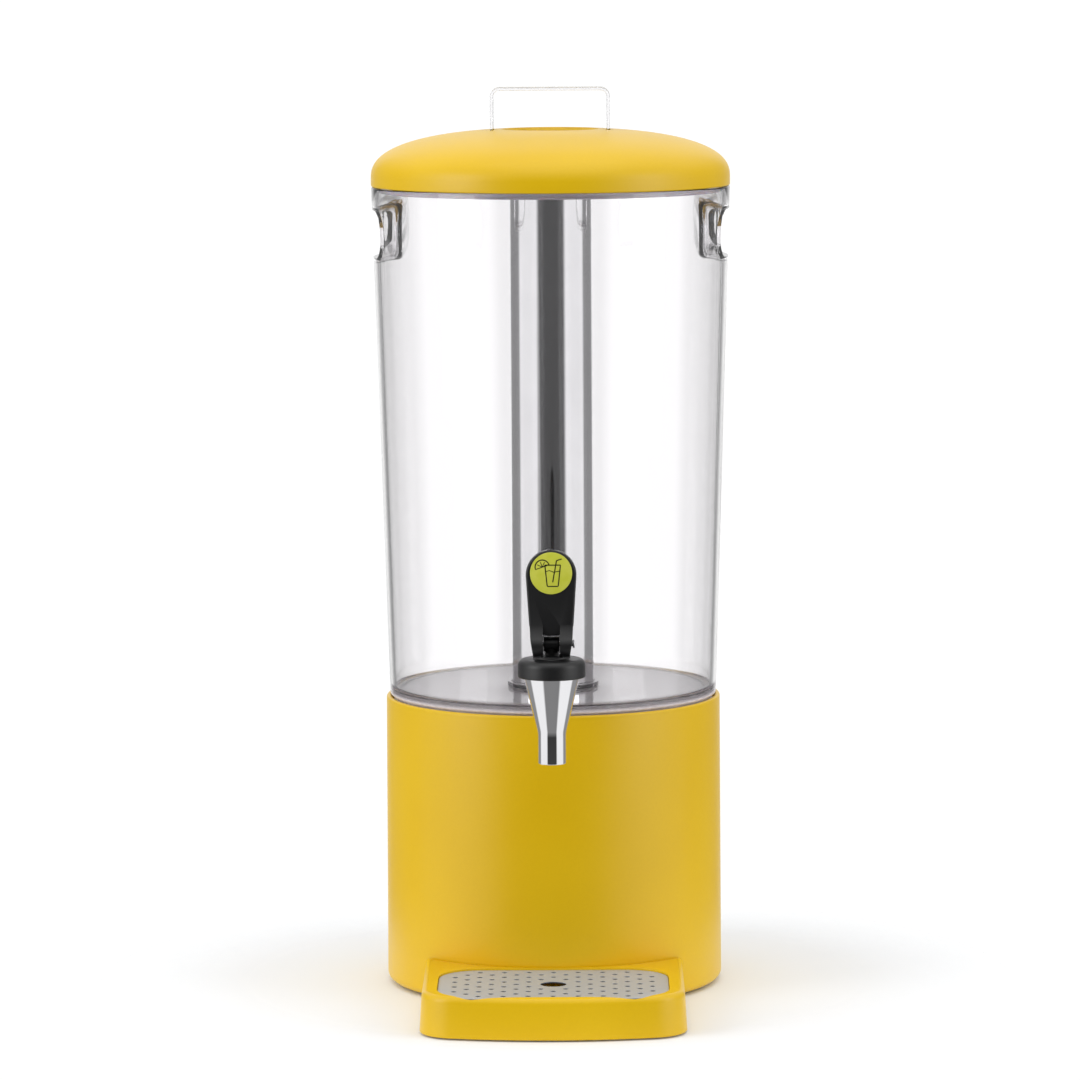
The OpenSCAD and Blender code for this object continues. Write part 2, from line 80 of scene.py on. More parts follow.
rim_z = box_mm("base_shell")[1].z
tank_high = box_mm("tank")[1]
mouth_z = tank_high.z
mouth_r = tank_high.y
print(f"base rim {rim_z:.1f}, tank mouth {mouth_z:.1f} with radius {mouth_r:.1f}")

# %% [markdown]
# ## Selecting in code
# An operator acts on all that is selected, so each step starts from nothing selected. Then
# all of a mesh is selected, or the level edges at one height are picked.

# %% Selection helpers
def nothing():
    """Leaves edit mode with nothing selected."""
    if bpy.context.mode != "OBJECT":
        bpy.ops.object.mode_set(mode="OBJECT")
    bpy.ops.object.select_all(action="DESELECT")


def only(piece):
    """Selects one object and makes it active."""
    nothing()
    piece.select_set(True)
    bpy.context.view_layer.objects.active = piece


def edit(piece, kind="FACE"):
    """Opens a piece in edit mode with nothing selected."""
    only(piece)
    bpy.ops.object.mode_set(mode="EDIT")
    bpy.ops.mesh.select_mode(type=kind)
    bpy.ops.mesh.select_all(action="DESELECT")


def pick_level(piece, z):
    """Selects the edges that lie level at a height, in millimetres."""
    edit(piece, "EDGE")
    mesh = bmesh.from_edit_mesh(piece.data)
    for edge in mesh.edges:
        if all(abs(vert.co.z / MM - z) < 0.001 for vert in edge.verts):
            edge.select_set(True)
    mesh.select_flush(True)
    bmesh.update_edit_mesh(piece.data)


def tidy_mesh(piece):
    """Merges doubles and turns all faces outwards."""
    edit(piece)
    bpy.ops.mesh.select_all(action="SELECT")
    bpy.ops.mesh.remove_doubles(threshold=0.01 * MM)
    bpy.ops.mesh.normals_make_consistent(inside=False)
    nothing()


print("selection helpers ready")

# %% [markdown]
# ## Drawing an outline
# Most of this object is turned or extruded from a section. The section is a list of corners,
# each with its own rounding, because a moulded or spun edge is never knife-sharp. The corners
# become points, and the points become a wire that is extruded vertex by vertex.

# %% Corners to points
def rounded(corners, closed=True, fine=6):
    """Points of an outline whose corners are (a, b, radius)."""
    points = []
    count = len(corners)
    for i, (a, b, radius) in enumerate(corners):
        here = Vector((a, b))
        if radius == 0 or not closed and i in (0, count - 1):
            points.append(here)
            continue
        back = Vector(corners[i - 1][:2]) - here
        ahead = Vector(corners[(i + 1) % count][:2]) - here
        half = back.angle(ahead) / 2
        run = min(radius / math.tan(half), 0.48 * back.length, 0.48 * ahead.length)
        inward = (back.normalized() + ahead.normalized()).normalized()
        middle = here + inward * run / math.cos(half)
        start = here + back.normalized() * run - middle
        turn = start.angle_signed(here + ahead.normalized() * run - middle)
        steps = max(2, math.ceil(fine * abs(turn) / (math.pi / 2)))
        for k in range(steps + 1):
            points.append(middle + Matrix.Rotation(-turn * k / steps, 2) @ start)
    return points


def arc(a, b, radius, start, end, steps):
    """Points on an arc about (a, b), with angles in degrees."""
    turns = [math.radians(start + (end - start) * i / steps) for i in range(steps + 1)]
    return [Vector((a + radius * math.cos(t), b + radius * math.sin(t))) for t in turns]


square = rounded([(0, 0, 0.2), (1, 0, 0.2), (1, 1, 0.2), (0, 1, 0.2)])
print("a rounded unit square has", len(square), "points")

# %% Points to a wire
PLANES = {
    "XY": lambda p, h: Vector((p[0], p[1], h)) * MM,
    "XZ": lambda p, h: Vector((p[0], h, p[1])) * MM,
    "YZ": lambda p, h: Vector((h, p[0], p[1])) * MM,
}


def draw(name, points, plane="XZ", at=0.0, closed=True, filled=False):
    """Draws an outline as a wire, or fills it as one face."""
    spots = [PLANES[plane](p, at) for p in points]
    nothing()
    bpy.ops.mesh.primitive_plane_add(size=MM)
    piece = bpy.context.object
    piece.name = piece.data.name = name
    edit(piece, "VERT")
    bpy.ops.mesh.select_all(action="SELECT")
    bpy.ops.mesh.merge(type="CENTER")
    bpy.ops.transform.translate(value=spots[0])
    for before, here in zip(spots, spots[1:]):
        bpy.ops.mesh.extrude_vertices_move(TRANSFORM_OT_translate={"value": here - before})
    if closed:
        bpy.ops.mesh.select_all(action="SELECT")
        bpy.ops.mesh.edge_face_add()
        if not filled:
            bpy.ops.mesh.delete(type="ONLY_FACE")
    nothing()
    return piece


def turned(name, corners, steps=128, centre=(0, 0), closed=True, fine=6):
    """Rounds the corners of an XZ outline and spins it about an upright axis at centre."""
    middle = Vector((centre[0], centre[1], 0)) * MM
    points = [(p[0] + centre[0], p[1]) for p in rounded(corners, closed, fine)]
    piece = draw(name, points, "XZ", centre[1], closed)
    edit(piece, "VERT")
    bpy.ops.mesh.select_all(action="SELECT")
    bpy.ops.mesh.spin(steps=steps, angle=2 * math.pi, center=middle, axis=(0, 0, 1))
    tidy_mesh(piece)
    return piece


def prism(name, points, plane, low, high):
    """Extrudes an outline square to its plane, from low to high."""
    piece = draw(name, points, plane, low, filled=True)
    edit(piece)
    bpy.ops.mesh.select_all(action="SELECT")
    way = PLANES[plane]((0, 0), high - low)
    bpy.ops.mesh.extrude_region_move(TRANSFORM_OT_translate={"value": way})
    tidy_mesh(piece)
    return piece


print("drawing, turning and extruding ready")

# %% [markdown]
# ## Joining and cutting
# Holes and pockets are cut with a Boolean modifier that is applied at once, as a drill would.
# Bevels, wall thickness and windings come from modifiers in the same way.

# %% Boolean and bevel helpers
def modify(piece, kind, **settings):
    """Adds a modifier to a piece and applies it at once."""
    only(piece)
    step = piece.modifiers.new(kind.lower(), kind)
    for key, value in settings.items():
        setattr(step, key, value)
    bpy.ops.object.modifier_apply(modifier=step.name)


def combine(piece, tool, way="DIFFERENCE", many=False):
    """Cuts the tool from a piece, joins it, or keeps what both share."""
    modify(piece, "BOOLEAN", operation=way, object=tool, solver="EXACT", use_self=many)
    bpy.data.objects.remove(tool)


def soften(piece, width, segments=3, angle=40):
    """Rounds all edges sharper than the angle."""
    modify(piece, "BEVEL", width=width * MM, segments=segments,
           limit_method="ANGLE", angle_limit=math.radians(angle))


def rod(name, radius, low, high, axis="Z", centre=(0, 0), sides=48, flat=0.0):
    """A round bar along an axis with its two rims rounded, for a union or as a drill."""
    middle, length = (low + high) / 2, high - low
    spot = {"Z": (*centre, middle), "Y": (centre[0], middle, centre[1]), "X": (middle, *centre)}
    turn = {"Z": (0, 0, 0), "Y": (math.pi / 2, 0, 0), "X": (0, math.pi / 2, 0)}
    nothing()
    bpy.ops.mesh.primitive_cylinder_add(
        vertices=sides, radius=radius * MM, depth=length * MM,
        location=Vector(spot[axis]) * MM, rotation=turn[axis])
    piece = bpy.context.object
    piece.name = name
    bpy.ops.object.transform_apply(location=True, rotation=True, scale=True)
    if flat:
        soften(piece, flat)
    return piece


def joined(name, parts):
    """Joins separate meshes into one object."""
    nothing()
    for part in parts:
        part.select_set(True)
    bpy.context.view_layer.objects.active = parts[0]
    bpy.ops.object.join()
    parts[0].name = parts[0].data.name = name
    return parts[0]


print("joining and cutting ready")

# %% [markdown]
# ## Shader maths
# A material is a small recipe. Value wraps one socket, so that sums on it add Math nodes, and
# Recipe adds any other node by its type, its settings and what goes into its sockets.

# %% Values and recipes
class Value:
    """A socket of a node tree that can be used in sums."""

    def __init__(self, recipe, socket):
        self.recipe, self.socket = recipe, socket

    def sum(self, operation, *terms):
        return self.recipe.add("ShaderNodeMath", {"operation": operation}, *terms)

    def __add__(self, other):
        return self.sum("ADD", self, other)

    def __sub__(self, other):
        return self.sum("SUBTRACT", self, other)

    def __rsub__(self, other):
        return self.sum("SUBTRACT", other, self)

    def __mul__(self, other):
        return self.sum("MULTIPLY", self, other)

    def __truediv__(self, other):
        return self.sum("DIVIDE", self, other)

    def __gt__(self, other):
        return self.sum("GREATER_THAN", self, other)

    def __lt__(self, other):
        return self.sum("LESS_THAN", self, other)

    def __pow__(self, other):
        return self.sum("POWER", self, other)

    __radd__ = __add__
    __rmul__ = __mul__


class Recipe:
    """One material: a Principled shader and the nodes that feed it."""

    def __init__(self, name, **constants):
        self.material = bpy.data.materials.new(name)
        self.material.use_nodes = True
        self.tree = self.material.node_tree
        self.shader = self.tree.nodes["Principled BSDF"]
        for key, value in constants.items():
            self.shader.inputs[key.replace("_", " ")].default_value = value
        self.place = self.add("ShaderNodeTexCoord", out="Object")

    def plug(self, socket, value):
        if isinstance(value, Value):
            self.tree.links.new(value.socket, socket)
        else:
            socket.default_value = value

    def add(self, kind, settings=None, *values, out=0, **named):
        node = self.tree.nodes.new(kind)
        for key, value in (settings or {}).items():
            setattr(node, key, value)
        for socket, value in zip(node.inputs, values):
            self.plug(socket, value)
        for key, value in named.items():
            self.plug(node.inputs[key.replace("_", " ")], value)
        return Value(self, node.outputs[out])

    def stretched(self, x, y, z):
        """The object's own coordinates, scaled along each axis."""
        return self.add("ShaderNodeMapping", None, self.place, Scale=(x, y, z))

    def noise(self, scale, detail=2.0, place=None, rough=0.5):
        return self.add("ShaderNodeTexNoise", None, Vector=place or self.place,
                        Scale=scale, Detail=detail, Roughness=rough)

    def mix(self, factor, first, second):
        """A colour between two colours."""
        node = self.tree.nodes.new("ShaderNodeMix")
        node.data_type = "RGBA"
        self.plug(node.inputs[0], factor)
        self.plug(node.inputs[6], first)
        self.plug(node.inputs[7], second)
        return Value(self, node.outputs[2])

    def span(self, value, low, high, to_low, to_high):
        """Carries a value from one range to another, and stops at its ends."""
        return self.add("ShaderNodeMapRange", None, value, low, high, to_low, to_high)

    def feed(self, **links):
        for key, value in links.items():
            self.plug(self.shader.inputs[key.replace("_", " ")], value)
        return self.material

    def surface(self, colour, rough, height, depth, strength):
        """Feeds colour and roughness, and a bump of a depth in metres."""
        bump = self.add("ShaderNodeBump", None, Height=height, Distance=depth, Strength=strength)
        return self.feed(Base_Color=colour, Roughness=rough, Normal=bump)


def rgb(red, green, blue):
    """A screen colour from 0 to 255, as the linear colour a shader takes."""
    return tuple((c / 255 / 12.92) if c < 11 else ((c / 255 + 0.055) / 1.055) ** 2.4
                 for c in (red, green, blue)) + (1.0,)


print("recipes ready; mid yellow is", [round(c, 3) for c in rgb(228, 180, 20)])

# %% [markdown]
# ## Yellow plastic
# The base, the lid and the tray are moulded from one satin plastic. A mould is spark-eroded or
# blasted, which leaves a fine even grain. Slow noise shifts the colour a little, as pigment
# does, and a fine noise drives the bump and the roughness.

# %% Yellow plastic
def yellow_plastic():
    recipe = Recipe("yellow_plastic", IOR=1.42, Coat_Weight=0.0)
    slow = recipe.noise(9.0, 3.0)
    grain = recipe.noise(2600.0, 2.0)
    pores = recipe.noise(620.0, 3.0)
    colour = recipe.mix(recipe.span(slow, 0.35, 0.65, 0.0, 1.0),
                        rgb(229, 186, 12), rgb(233, 191, 16))
    colour = recipe.mix(recipe.span(pores, 0.3, 0.7, 0.06, 0.0), colour, rgb(188, 145, 10))
    rough = recipe.span(grain, 0.3, 0.7, 0.30, 0.38) + recipe.span(slow, 0.3, 0.7, -0.02, 0.03)
    height = grain * 0.7 + pores * 0.5
    return recipe.surface(colour, rough, height, 0.00006, 0.7)


YELLOW = yellow_plastic()
print("made", YELLOW.name)

# %% [markdown]
# ## Clear plastic
# The tank is injection-moulded in a clear, tough plastic. It is glass-like, with a faint violet
# cast where light runs along a thick wall, a slow waviness from the mould and a light haze. The
# tank's foot and underside are frosted: fully up to one height, and not at all above another.

# %% Clear plastic
FROST_FULL_Z, FROST_END_Z = 189.2, 191.2


def clear_plastic():
    recipe = Recipe("clear_plastic", IOR=1.5, Transmission_Weight=1.0)
    wave = recipe.noise(14.0, 2.0, recipe.stretched(1.0, 1.0, 0.35))
    haze = recipe.noise(300.0, 3.0)
    colour = recipe.mix(recipe.span(wave, 0.3, 0.7, 0.0, 1.0),
                        (0.985, 0.978, 0.987, 1), (0.992, 0.985, 0.993, 1))
    height = recipe.add("ShaderNodeSeparateXYZ", None, recipe.place, out=2)
    foot = recipe.span(height, FROST_FULL_Z * MM, FROST_END_Z * MM, 1.0, 0.0)
    rough = recipe.span(haze, 0.35, 0.7, 0.012, 0.03) + foot * 0.2
    recipe.surface(colour, rough, wave, 0.0006, 0.25)
    frost = recipe.tree.nodes.new("ShaderNodeBsdfPrincipled")
    frost.inputs["Base Color"].default_value = (0.95, 0.88, 0.94, 1)
    frost.inputs["Roughness"].default_value = 0.55
    blend = recipe.tree.nodes.new("ShaderNodeMixShader")
    recipe.plug(blend.inputs[0], foot * recipe.span(haze, 0.3, 0.7, 0.58, 0.70))
    recipe.plug(blend.inputs[1], Value(recipe, recipe.shader.outputs[0]))
    recipe.plug(blend.inputs[2], Value(recipe, frost.outputs[0]))
    recipe.plug(recipe.tree.nodes["Material Output"].inputs[0], Value(recipe, blend.outputs[0]))
    return recipe.material


CLEAR = clear_plastic()
print("made", CLEAR.name)

# %% [markdown]
# ## Metals
# The tap is chromed brass: bright and mirror-like. The tube is polished sheet, with hair-fine
# scratches along the polishing direction. The deck and the grille are brushed sheet, whose lines
# run one way, and whose low metallic share keeps them pale. Screws, pin and spring are plain
# steel.

# %% Metals
def metal(name, tone, rough_low, rough_high, lines, depth, bare=1.0):
    """A bright metal whose fine lines come from noise that is stretched along one axis."""
    recipe = Recipe(name, Metallic=bare)
    scratch = recipe.noise(1.0, 4.0, recipe.stretched(*lines), 0.6)
    smudge = recipe.noise(22.0, 3.0)
    dull = tuple(c * 0.88 for c in tone[:3]) + (1.0,)
    colour = recipe.mix(recipe.span(smudge, 0.35, 0.7, 0.0, 0.5), tone, dull)
    rough = (recipe.span(scratch, 0.3, 0.7, rough_low, rough_high)
             + recipe.span(smudge, 0.4, 0.7, 0.0, 0.03))
    return recipe.surface(colour, rough, scratch, depth, 0.6)


BRUSH_LINES = (60, 2400, 2400)
CHROME = metal("chrome", (0.84, 0.84, 0.86, 1), 0.02, 0.05, (900, 900, 120), 0.000001)
POLISHED = metal("polished_steel", (0.92, 0.92, 0.93, 1), 0.05, 0.10, (1600, 1600, 60), 0.000004)
BRUSHED = metal("steel_sheet", (0.93, 0.91, 0.94, 1), 0.40, 0.52, BRUSH_LINES, 0.00002, 0.15)


def punched_steel():
    """The grille's brushed sheet, with painted shade: its holes and edge are coloured near black
    below the top face.
    """
    recipe = Recipe("punched_steel", Metallic=0.3)
    scratch = recipe.noise(1.0, 4.0, recipe.stretched(*BRUSH_LINES), 0.6)
    height = recipe.add("ShaderNodeSeparateXYZ", None, recipe.place, out=2)
    # painted shade: below the top face the hole walls and the rim are coloured near black,
    # standing in for the shade inside the holes
    below = recipe.span(height, 25.45 * MM, 25.75 * MM, 1.0, 0.0)
    colour = recipe.mix(below, (0.48, 0.51, 0.56, 1), (0.03, 0.03, 0.032, 1))
    rough = recipe.span(scratch, 0.3, 0.7, 0.42, 0.54)
    return recipe.surface(colour, rough, scratch, 0.00002, 0.6)


PUNCHED = punched_steel()
FASTENER = metal("fastener_steel", (0.60, 0.60, 0.62, 1), 0.25, 0.4, (700, 700, 700), 0.00002)
print("made", CHROME.name, POLISHED.name, BRUSHED.name, PUNCHED.name, FASTENER.name)

# %% [markdown]
# ## Dark plastic, rubber and silicone
# The tap's handle, bonnet, stem and nut and the floor plate are dark satin plastic with a fine
# texture. The pad, the tray's feet and the tube's ring are rubber, which is rougher and greyer.
# The washers, the seat cup and the lid's seal are milky silicone.

# %% Dark plastic, rubber and silicone
def moulded(name, dark, light, rough_low, rough_high, grain_scale, depth, **constants):
    """A moulded surface: two near tones, grain and a grain-driven roughness."""
    recipe = Recipe(name, **constants)
    slow = recipe.noise(40.0, 3.0)
    grain = recipe.noise(grain_scale, 2.0)
    colour = recipe.mix(recipe.span(slow * 0.7 + grain * 0.3, 0.35, 0.65, 0.0, 1.0), dark, light)
    rough = recipe.span(grain, 0.3, 0.7, rough_low, rough_high)
    return recipe.surface(colour, rough, grain, depth, 0.7)


BLACK = moulded("black_plastic", (0.005, 0.005, 0.0055, 1), (0.008, 0.008, 0.0085, 1),
                0.36, 0.48, 2200.0, 0.00005)
RUBBER = moulded("black_rubber", (0.022, 0.022, 0.023, 1), (0.034, 0.034, 0.035, 1),
                 0.65, 0.8, 1500.0, 0.00008)
SILICONE = moulded("silicone", (0.74, 0.66, 0.74, 1), (0.80, 0.72, 0.80, 1),
                   0.4, 0.55, 900.0, 0.00004, Subsurface_Weight=0.25, Subsurface_Scale=0.004)
print("made", BLACK.name, RUBBER.name, SILICONE.name)

# %% [markdown]
# ## Finishing a piece
# Every piece ends the same way: smooth shading up to a crease angle, a material and the body it
# rides on, and the nodes of the frame that it stands for are hidden.

# %% Finishing helper
def finish(piece, body, slot, material, *nodes, angle=30):
    only(piece)
    bpy.ops.object.shade_smooth_by_angle(angle=math.radians(angle))
    piece.data.materials.clear()
    piece.data.materials.append(material)
    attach(piece, body)
    if nodes:
        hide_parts(*nodes)
    nothing()
    size = [round(v / MM, 1) for v in piece.dimensions]
    print(f"{piece.name}: {len(piece.data.polygons)} faces, {size} mm, on {body}")
    return piece


def keep(node, material):
    """Leaves a node of the frame in place and gives it a finish."""
    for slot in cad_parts[node].material_slots:
        slot.material = material
    print("kept", node, "with", material.name)


print("finishing helpers ready")

# %% [markdown]
# ## The base
# The base is one deep moulded drum, open at the top and the bottom. It is turned from a section
# with a wide rounding at the foot and a small one at the rim. A ledge inside carries the deck.
# Four bosses stand on the floor plate for its screws.

# %% Base shell
foot_r = box_mm("base_shell")[1].y
base = turned("base_shell_moulded", [
    (98, 1.5, 0.4), (foot_r, 1.5, 7), (107.8, rim_z, 1.5), (104.8, rim_z, 0.8),
    (104.8, LEDGE_Z, 0.5), (98, LEDGE_Z, 0.4), (98, 178.8, 0.4), (104.8, 174.8, 1.0),
    (105.4, 4.5, 4), (98, 4.5, 0.4)], 160, fine=8)
BOSS_RING = 90
for quarter in range(4):
    turn = math.radians(45 + 90 * quarter)
    spot = (BOSS_RING * math.cos(turn), BOSS_RING * math.sin(turn))
    combine(base, rod("boss", 5, 5.6, 31.5, centre=spot, sides=32), "UNION")
    combine(base, rod("drill", 2, 0, 21.5, centre=spot, sides=24))
finish(base, "base", "yellow_plastic", YELLOW, "base_shell")

# %% [markdown]
# ## Deck, floor plate, screws and pad
# A brushed steel disc closes the drum below the tank. Its rim is rolled a little, so it is
# turned too. The floor plate, its screws and the pad under it are only seen from below, and the
# frame's own plate and screws stay and take a finish.

# %% Deck and underside
deck = turned("deck_disc", [
    (0, LEDGE_Z, 0), (103.9, LEDGE_Z, 0.3), (103.9, DECK_Z, 0.4), (0, DECK_Z, 0)], closed=False)
finish(deck, "base", "steel_sheet", BRUSHED, "deck_plate")
pad = turned("foot_pad", [
    (0, 0, 0), (79.5, 0, 0.4), (79.5, 0.5, 0.2), (80.5, 0.5, 0.2), (80.5, 0, 0.2), (82, 0, 0.5),
    (82, 1.5, 0.3), (0, 1.5, 0)], 96, closed=False)
finish(pad, "base", "black_rubber", RUBBER, "base_pad")
keep("base_floor", BLACK)
keep("floor_screws", FASTENER)

# %% [markdown]
# ## The tank
# The tank is a thick-walled clear bucket that widens upwards. It is turned from its section,
# with a low ring under it that locates it in the base, a collar on its floor for the tube, and
# a rounded mouth. A finger pocket is pushed into each side: a block is joined to the inside of
# the wall and a smaller rounded block is cut from it. The tap's hole is drilled last.

# %% Tank
def box_outline(width, height, radius, middle=(0, 0)):
    a, b = middle
    corners = [(-1, -1), (1, -1), (1, 1), (-1, 1)]
    return rounded([(a + x * width / 2, b + y * height / 2, radius) for x, y in corners], fine=8)


def wall_r(z):
    """Radius of the tank's outside at a height."""
    height = mouth_z - TANK_LOW_Z
    return TANK_FOOT_R + (z - TANK_LOW_Z) * (mouth_r - TANK_FOOT_R) / height


POCKET_Z = mouth_z - 29.9
WALL_BITE = 1.7
collar_z = TANK_FLOOR_Z + 3.5
tank = turned("tank_moulded", [
    (0, TANK_LOW_Z, 0), (97, TANK_LOW_Z, 0.3), (97, DECK_Z, 0.6), (101, DECK_Z, 0.6),
    (101, TANK_LOW_Z, 0.3), (TANK_FOOT_R, TANK_LOW_Z, 4), (mouth_r, mouth_z, 1.4),
    (mouth_r - TANK_WALL, mouth_z, 1.4), (wall_r(TANK_FLOOR_Z) - TANK_WALL, TANK_FLOOR_Z, 4),
    (29.45, TANK_FLOOR_Z, 0.8), (29.45, collar_z, 0.6), (26.85, collar_z, 0.6),
    (26.85, TANK_FLOOR_Z, 0.3), (0, TANK_FLOOR_Z, 0)], 192, closed=False, fine=8)
for side in (-1, 1):
    inner, outer = sorted((side * 93.7, side * 120))
    block = prism("pocket_block", box_outline(78.6, 36.0, 15.8, (0, POCKET_Z)), "YZ", inner, outer)
    soften(block, 3.5, 4, 60)
    inside = turned("inside_of_wall", [
        (0, 440, 0), (wall_r(440) - WALL_BITE, 440, 0), (wall_r(514) - WALL_BITE, 514, 0),
        (0, 514, 0)], 192, closed=False)
    combine(block, inside, "INTERSECT")
    combine(tank, block, "UNION")
    inner, outer = sorted((side * 96.5, side * 125))
    hollow = prism("pocket_hollow", box_outline(73, 30.4, 13, (0, POCKET_Z)), "YZ", inner, outer)
    soften(hollow, 3.0, 4, 60)
    combine(tank, hollow)
combine(tank, rod("drill", 8.1, -125, -95, "Y", SHANK_AXIS, 64))
tidy_mesh(tank)
finish(tank, "tank", "clear_plastic", CLEAR, "tank", angle=32)

# %% [markdown]
# ## The tube for ice
# A thin stainless tube with a rolled bead at its mouth hangs in the drink. It is turned as a
# closed thin-walled section. A disc closes its lower end and a rubber ring stands under it.

# %% Ice tube
tube = turned("ice_tube_drawn", [
    (26.45, TUBE_LOW_Z, 0.3), (26.45, 532.9, 0.2), (27.2, 533.2, 0.5), (27.25, 534.9, 0.8),
    (25.7, 534.95, 0.8), (24.95, 533.3, 0.5), (25.65, 532.6, 0.2), (25.65, TUBE_LOW_Z, 0.3)],
    fine=5)
finish(tube, "ice_tube", "polished_steel", POLISHED, "ice_tube")
plug = turned("tube_end_disc", [
    (0, TUBE_LOW_Z, 0), (25.6, TUBE_LOW_Z, 0.3), (25.6, 195.5, 0.4), (0, 195.1, 0)],
    96, closed=False)
finish(plug, "ice_tube", "polished_steel", POLISHED, "tube_end")
ring = turned("tube_foot_ring", [
    (23.45, 191.85, 0.4), (26.4, 191.85, 0.8), (26.4, TUBE_LOW_Z, 0.4),
    (23.45, TUBE_LOW_Z, 0.4)], 96)
finish(ring, "ice_tube", "black_rubber", RUBBER, "tube_foot")

# %% [markdown]
# ## The lid
# The lid's dome is a superellipse, flatter on top and rounder at its shoulder than a circle.
# DOME is the power that sine and cosine are raised to.
# Its section also has the short skirt, the sunk middle, the low ring that the seal is
# stretched over, and the sleeve that the tube's mouth sits in.

# %% Lid
DOME = 0.8


def dome(radius, height, stop, steps):
    """Points of a superellipse from its edge up to the radius stop."""
    last = math.acos((stop / radius) ** (1 / DOME))
    turns = [last * i / steps for i in range(steps + 1)]
    return [(radius * math.cos(t) ** DOME, mouth_z + 5 + height * math.sin(t) ** DOME)
            for t in turns]


def lid_section():
    lid_r = mouth_r + 0.1
    top = dome(lid_r, 31.6, 31.5, 40)
    under = [p for p in reversed(dome(lid_r - 3, 28.6, 36, 24)) if p[0] < 106.2]
    floor_z = top[-1][1] - 4
    corners = [
        (107.2, 511.6, 0.4), (109.2, 511.6, 0.4), (109.2, mouth_z, 0.2), (lid_r, mouth_z, 0.9)]
    corners += [(a, b, 0.0) for a, b in top[1:-1]] + [(*top[-1], 0.7)]
    corners += [
        (28.5, floor_z, 1.2), (0, floor_z, 0), (0, floor_z - 3, 0), (28.2, floor_z - 3, 0.3),
        (28.2, 524.1, 0.5), (30.4, 524.1, 0.5), (30.4, floor_z - 3, 1.0), (33.0, floor_z - 3, 0.5)]
    corners += [(a, b, 0.0) for a, b in under] + [(107.2, mouth_z + 13, 0.5)]
    return corners


lid = turned("lid_moulded", lid_section(), 192, fine=5)
for side in (-1, 1):
    screw = (side * STRAP_SCREW_X, 0)
    combine(lid, rod("boss", 5, 541.1, 546.5, centre=screw, sides=32), "UNION")
    combine(lid, rod("drill", 2, 540, 545.5, centre=screw, sides=24))
    slit = box_outline(2.4, 26.4, 1.1, (side * STRAP_LEG_X, 0))
    combine(lid, prism("slot_cut", slit, "XY", 535, 570))
finish(lid, "lid", "yellow_plastic", YELLOW, "lid_shell")
seal = turned("lid_seal_ring", [
    (109.25, 511.7, 0.3), (110.6, 511.7, 0.3), (111.0, 512.7, 0.3), (110.6, 513.5, 0.2),
    (111.0, 514.4, 0.3), (110.6, 515.4, 0.3), (109.25, 515.4, 0.3)], fine=3)
finish(seal, "lid", "silicone", SILICONE, "lid_seal")

# %% [markdown]
# ## The strap handle
# A strip of clear plastic is shaped as a low bridge whose feet turn outwards under the lid. The
# bent line is drawn once, extruded to the strip's width and thickened with Solidify.

# %% Strap handle
STRAP_END_X, STRAP_WIDTH, STRAP_THICK = 52.25, 26, 2
bridge_z = box_mm("lid_handle")[1].z - 1
strap_line = rounded([
    (-STRAP_END_X, STRAP_FOOT_Z, 0), (-STRAP_LEG_X, STRAP_FOOT_Z, 2.0),
    (-STRAP_LEG_X, bridge_z, 5), (STRAP_LEG_X, bridge_z, 5),
    (STRAP_LEG_X, STRAP_FOOT_Z, 2.0), (STRAP_END_X, STRAP_FOOT_Z, 0)], closed=False, fine=10)
strap = draw("strap_handle", strap_line, "XZ", -STRAP_WIDTH / 2, closed=False)
edit(strap, "EDGE")
bpy.ops.mesh.select_all(action="SELECT")
bpy.ops.mesh.extrude_region_move(TRANSFORM_OT_translate={"value": (0, STRAP_WIDTH * MM, 0)})
bpy.ops.mesh.select_all(action="SELECT")
bpy.ops.mesh.normals_make_consistent(inside=False)
modify(strap, "SOLIDIFY", thickness=STRAP_THICK * MM, offset=0, use_even_offset=True)
for side in (-1, 1):
    combine(strap, rod("drill", 2.1, 535, 545, centre=(side * STRAP_SCREW_X, 0), sides=32))
soften(strap, 0.45, angle=50)
finish(strap, "lid", "clear_plastic", CLEAR, "lid_handle")
keep("handle_screws", FASTENER)

# %% [markdown]
# ## The tap's body
# The body is chromed brass. It is turned as a solid, with a soft change from the cone to the
# straight spout. The threaded shank and its flange are bars joined to its back. Then the
# inside is cut: the outlet, the seat, the chamber and the bore that leads in from the tank.

# %% Tap body
body = turned("tap_body_turned", [
    (0, 164.8, 0), (8.9, 164.8, 0.7), (8.9, 183.9, 14), (17.4, 219.0, 4), (17.4, 225.6, 0.4),
    (0, 225.6, 0)], 128, TAP_AXIS, closed=False, fine=10)
combine(body, rod("shank", 7.9, TAP_Y + 3, -90.0, "Y", SHANK_AXIS, 64, 0.5), "UNION")
combine(body, rod("flange", 12.5, -114.6, -111.6, "Y", SHANK_AXIS, 96, 0.6), "UNION")
chamber = turned("chamber", [
    (0, 160, 0), (6.5, 160, 0), (6.5, 197.0, 0.6), (12.5, 203.0, 1.5), (12.5, 223.6, 0.3),
    (15.6, 223.6, 0.3), (15.6, 230, 0), (0, 230, 0)], 96, TAP_AXIS, closed=False)
combine(body, chamber)
combine(body, rod("bore", 4.5, TAP_Y + 2, -80, "Y", SHANK_AXIS, 48))
finish(body, "tank", "chrome", CHROME, "tap_body", angle=35)

# %% [markdown]
# ## The bonnet
# A dark plastic cap closes the body and guides the stem. Its shoulder is widely rounded and a
# low hub stands on it. Turning gives all of it in one go.

# %% Bonnet
bonnet = turned("tap_bonnet_moulded", [
    (17.5, 219.0, 0.3), (21.05, 219.0, 0.7), (21.05, 230.6, 4.4), (11.5, 230.6, 1.0),
    (11.5, 232.4, 0.6), (4.08, 232.4, 0.3), (4.08, 225.7, 0.2), (17.5, 225.7, 0.2)],
    centre=TAP_AXIS, fine=10)
finish(bonnet, "tank", "black_plastic", BLACK, "tap_bonnet")

